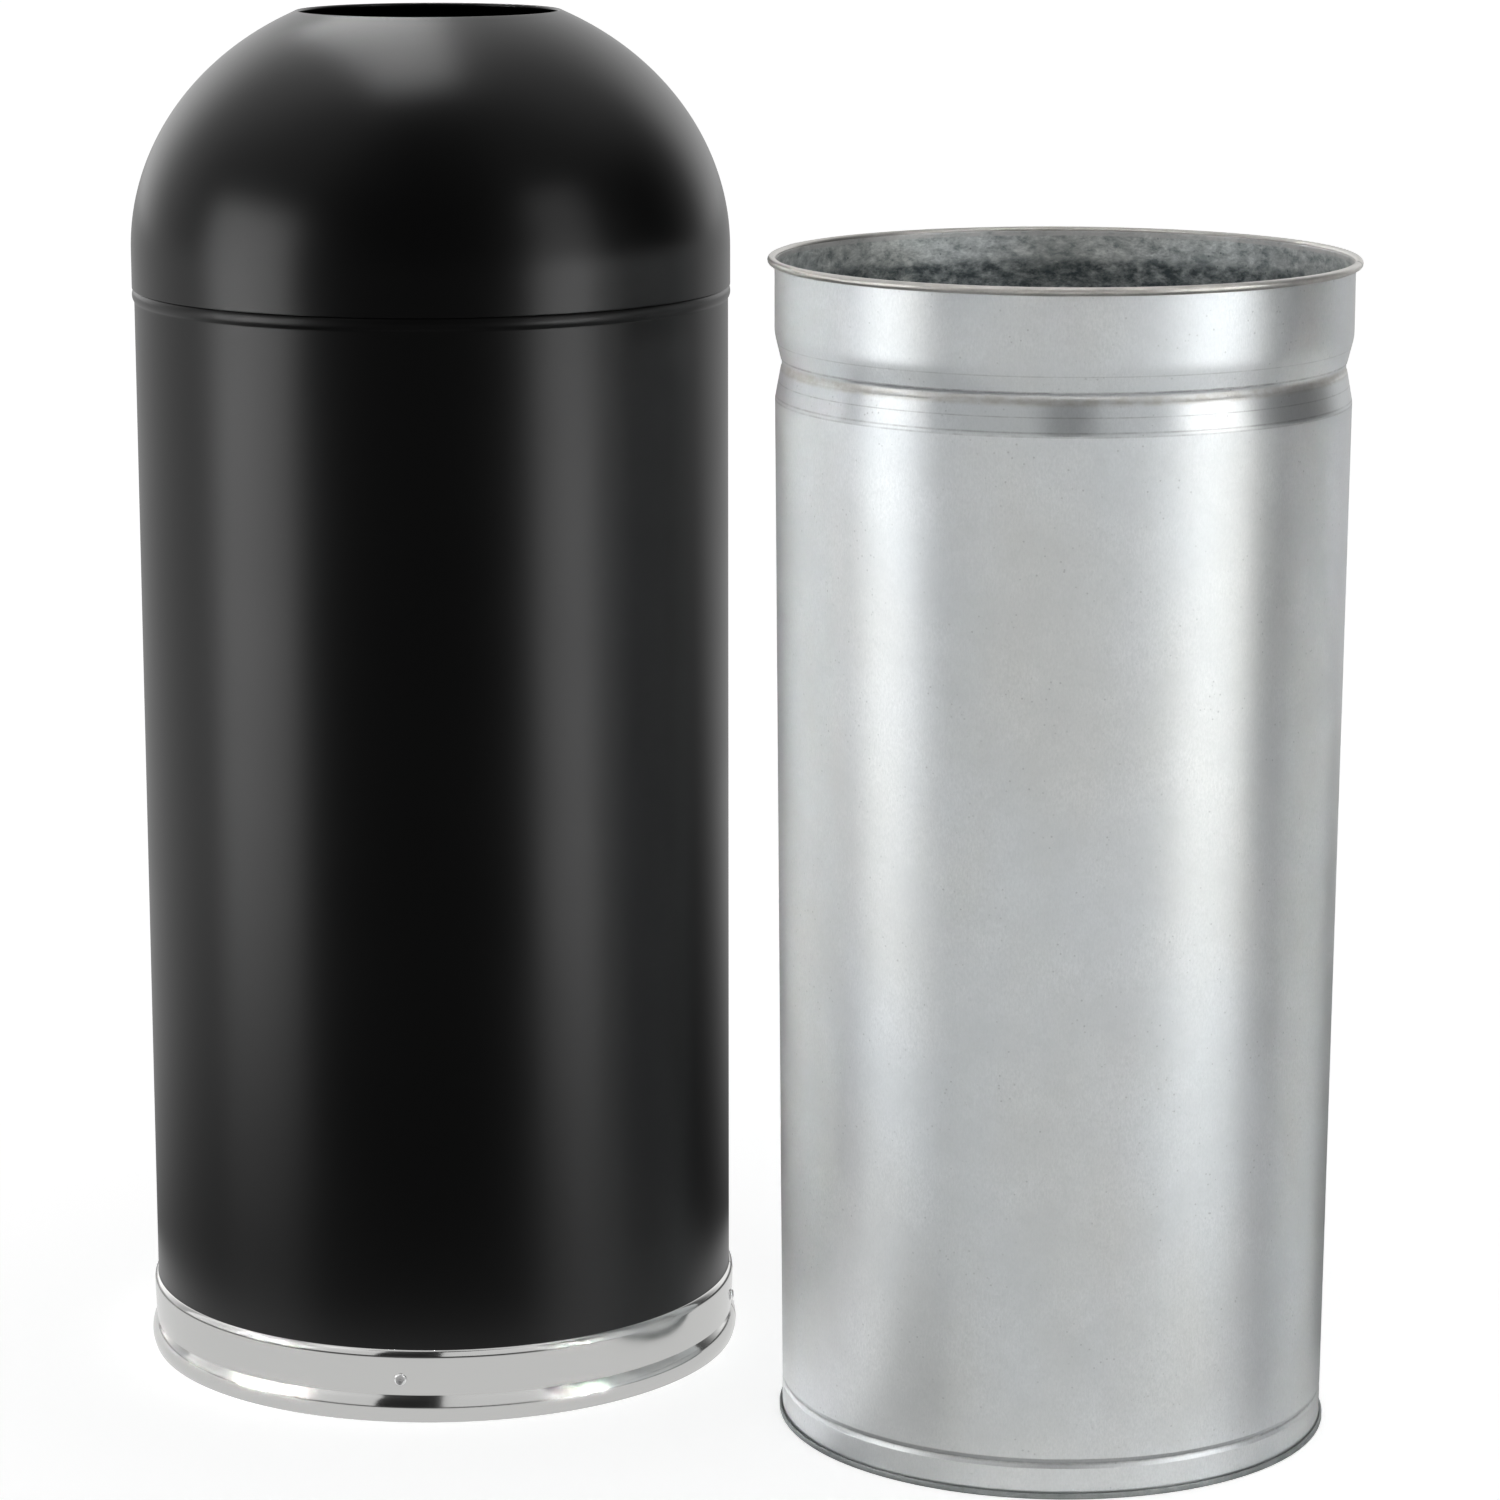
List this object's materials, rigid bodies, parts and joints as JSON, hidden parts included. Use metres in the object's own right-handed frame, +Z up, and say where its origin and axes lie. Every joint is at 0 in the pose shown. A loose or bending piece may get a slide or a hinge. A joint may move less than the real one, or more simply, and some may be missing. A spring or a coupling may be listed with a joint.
{
  "type": "litter bin",
  "caption": "Dome-topped round waste bin with a bright base ring, and its lift-out galvanised liner standing beside it.",
  "frame": {"origin": "on the floor, in the middle of the box round the bin and its liner", "axes": "+Z up; -Y to the front, where the liner stands a little nearer; +X from the bin towards the liner"},
  "size_m": [0.773, 0.5364, 0.8766],
  "materials": {
    "black_coat": "satin",
    "dome_coat": "satin",
    "pan_coat": "matt",
    "ring_chrome": "bright, lightly brushed",
    "rivet_metal": "bright",
    "galvanised_sheet": "galvanised, satin",
    "galvanised_foot": "galvanised, dull",
    "wire_steel": "drawn"
  },
  "bodies": {
    "bin_body": {"body_shell": "black_coat", "floor_pan": "pan_coat", "base_ring": "ring_chrome", "base_ring_rivets": "rivet_metal"},
    "dome": {"dome_shell": "dome_coat"},
    "liner": {"liner_wall": "galvanised_sheet", "liner_rim_wire": "wire_steel", "liner_bottom": "galvanised_foot"}
  },
  "joints": [
    {"name": "dome_lift", "type": "slide", "parent": "bin_body", "child": "dome", "axis": [0, 0, 1], "range_m": [0, 0.25]},
    {"name": "liner_lift", "type": "slide", "parent": "bin_body", "child": "liner", "axis": [0, 0, 1], "range_m": [0, 0.9]}
  ]
}
